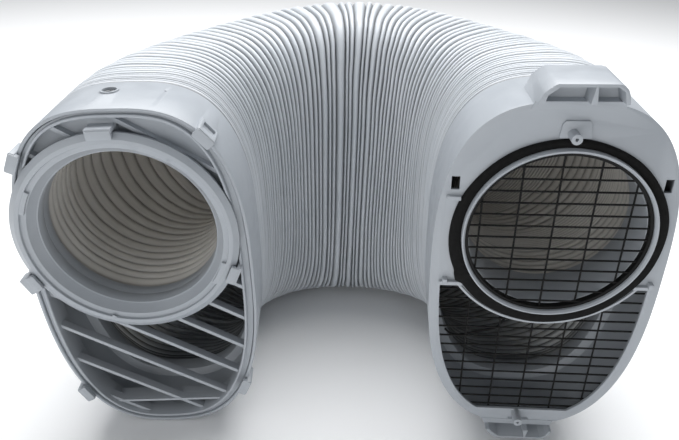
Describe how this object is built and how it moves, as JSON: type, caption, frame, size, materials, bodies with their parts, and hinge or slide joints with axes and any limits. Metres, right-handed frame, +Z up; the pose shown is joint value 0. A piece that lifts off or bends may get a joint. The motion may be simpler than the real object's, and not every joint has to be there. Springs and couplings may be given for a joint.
{
  "type": "air conditioner exhaust hose",
  "caption": "U-bent double exhaust hose of a portable air conditioner: tall oval bellows round a round hose, with a slatted window adapter and a guarded unit adapter.",
  "frame": {"origin": "centre of the bounding box, on the floor the hose lies on", "axes": "+X from the window end to the unit end, +Y from the open ends towards the bend, +Z up"},
  "size_m": [0.5748, 0.422, 0.3834],
  "materials": {
    "shell_plastic": "satin",
    "bellows_plastic": "satin",
    "duct_plastic": "satin",
    "black_plastic": "satin",
    "foam": "matte",
    "steel": "plated"
  },
  "bodies": {
    "root": {"outer_hose": "bellows_plastic", "inner_hose": "duct_plastic", "window_end_shell": "shell_plastic", "slatted_grille": "shell_plastic", "locking_ring": "shell_plastic", "band_screw": "steel", "unit_end_shell": "shell_plastic", "foam_gasket": "foam", "round_guard": "black_plastic", "lower_guard": "black_plastic", "cable_tie": "black_plastic"}
  },
  "joints": []
}
